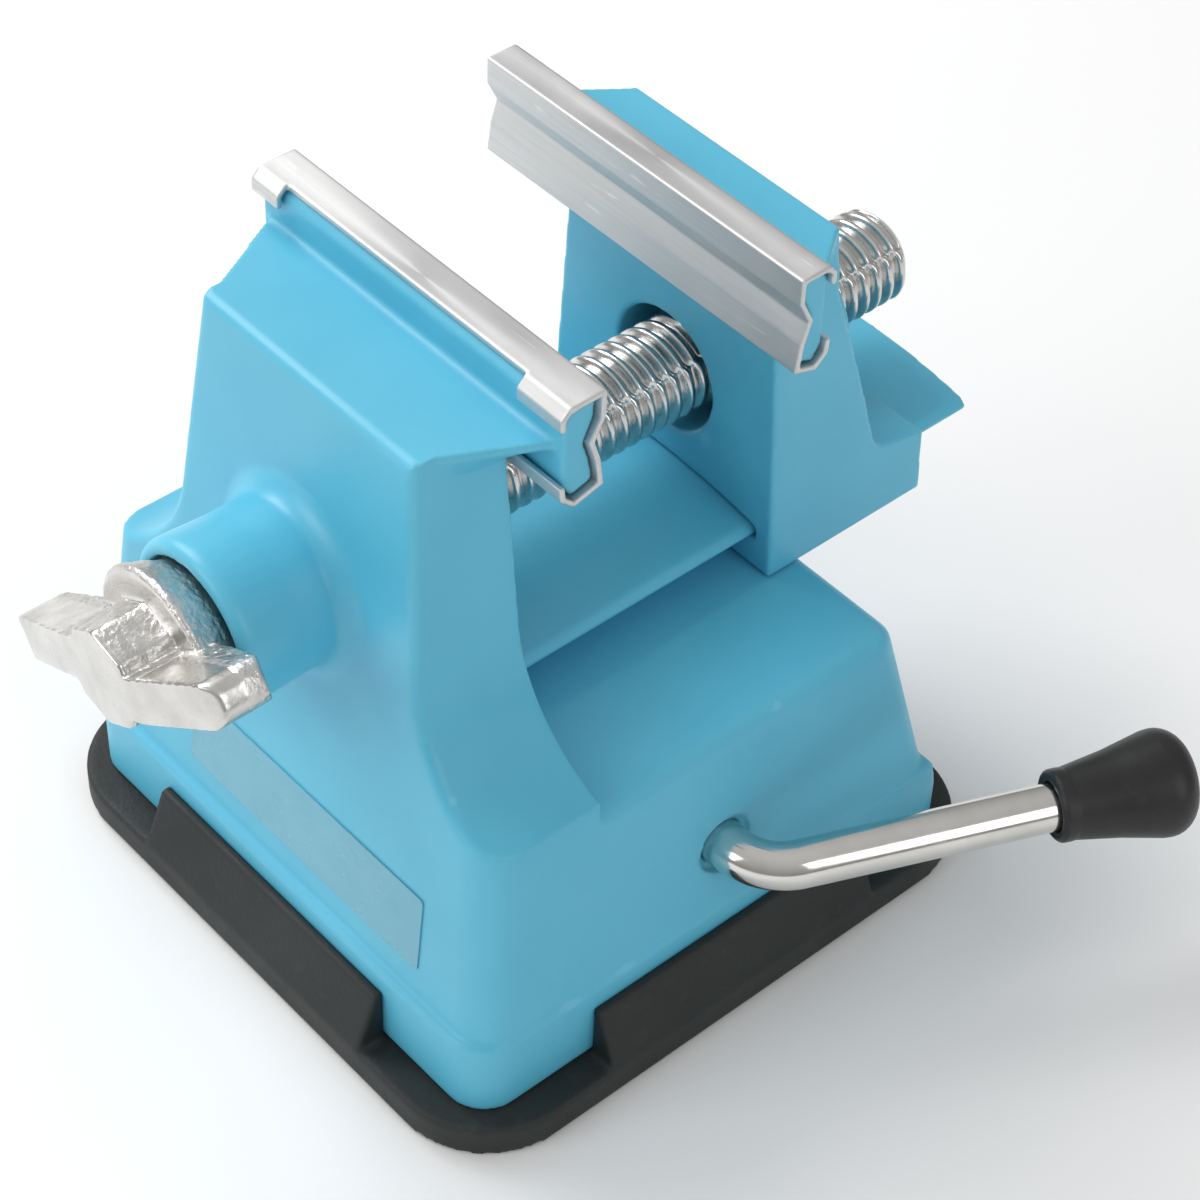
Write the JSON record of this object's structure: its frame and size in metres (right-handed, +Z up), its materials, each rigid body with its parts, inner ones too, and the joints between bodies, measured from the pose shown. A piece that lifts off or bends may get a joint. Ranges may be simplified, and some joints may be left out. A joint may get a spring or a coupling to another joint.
{
  "type": "pcb holder vise",
  "caption": "Small plastic bench vise with aluminium-faced jaws, a wing screw and a lever-operated suction foot, for holding circuit boards.",
  "frame": {"origin": "middle of the rubber foot's underside", "axes": "+X along the jaws, to the lever's side; +Y along the screw, from the wing handle to the end of the rail; +Z up"},
  "size_m": [0.1155, 0.1198, 0.0958],
  "materials": {
    "blue_plastic": "satin moulded ABS",
    "cast_zinc": "plain zinc casting",
    "jaw_aluminium": "satin rolled strip",
    "nickel_casting": "nickel-plated casting",
    "lever_chrome": "polished plating",
    "grip_vinyl": "satin dipped vinyl",
    "black_rubber": "matte moulded rubber",
    "black_nylon": "matte moulded nylon",
    "white_nylon": "moulded acetal",
    "cam_zinc": "plain zinc casting",
    "zinc_steel": "zinc-plated steel",
    "spring_steel": "phosphated spring steel",
    "label_film": "thin blank film label"
  },
  "bodies": {
    "base": {"base_body": "blue_plastic", "front_jaw_plate": "jaw_aluminium", "rubber_foot": "black_rubber", "clamp_frame": "black_nylon", "frame_screws": "zinc_steel", "front_label": "label_film", "thrust_washer": "black_nylon", "rear_washer": "zinc_steel"},
    "screw": {"wing_screw": "nickel_casting", "retaining_clip": "spring_steel"},
    "jaw": {"moving_jaw": "blue_plastic", "rear_jaw_plate": "jaw_aluminium", "jaw_nut": "cast_zinc"},
    "lever": {"lever_rod": "lever_chrome", "lever_grip": "grip_vinyl", "lever_cam": "cam_zinc", "cam_pin": "spring_steel", "lever_washer": "zinc_steel", "lever_clip": "spring_steel"},
    "suction": {"plunger": "white_nylon", "suction_pad": "black_rubber", "pad_stud": "zinc_steel", "pad_washer": "zinc_steel"}
  },
  "joints": [
    {"name": "screw_turn", "type": "hinge", "parent": "base", "child": "screw", "pos_m": [0, 0, 0.06264], "axis": [0, -1, 0], "range_deg": [-1370.4, 4833.3]},
    {"name": "jaw_slide", "type": "slide", "parent": "base", "child": "jaw", "axis": [0, -1, 0], "range_m": [-0.008, 0.0282]},
    {"name": "lever_turn", "type": "hinge", "parent": "base", "child": "lever", "pos_m": [0, 0, 0.025], "axis": [1, 0, 0], "range_deg": [0, 90]},
    {"name": "pad_lift", "type": "slide", "parent": "base", "child": "suction", "axis": [0, 0, 1], "range_m": [0, 0.00425]}
  ],
  "couplings": [
    {"joint": "jaw_slide", "follows": "screw_turn", "m_per_rad": 0.00033423},
    {"joint": "pad_lift", "follows": "lever_turn", "m_per_rad": 0.0027009}
  ]
}
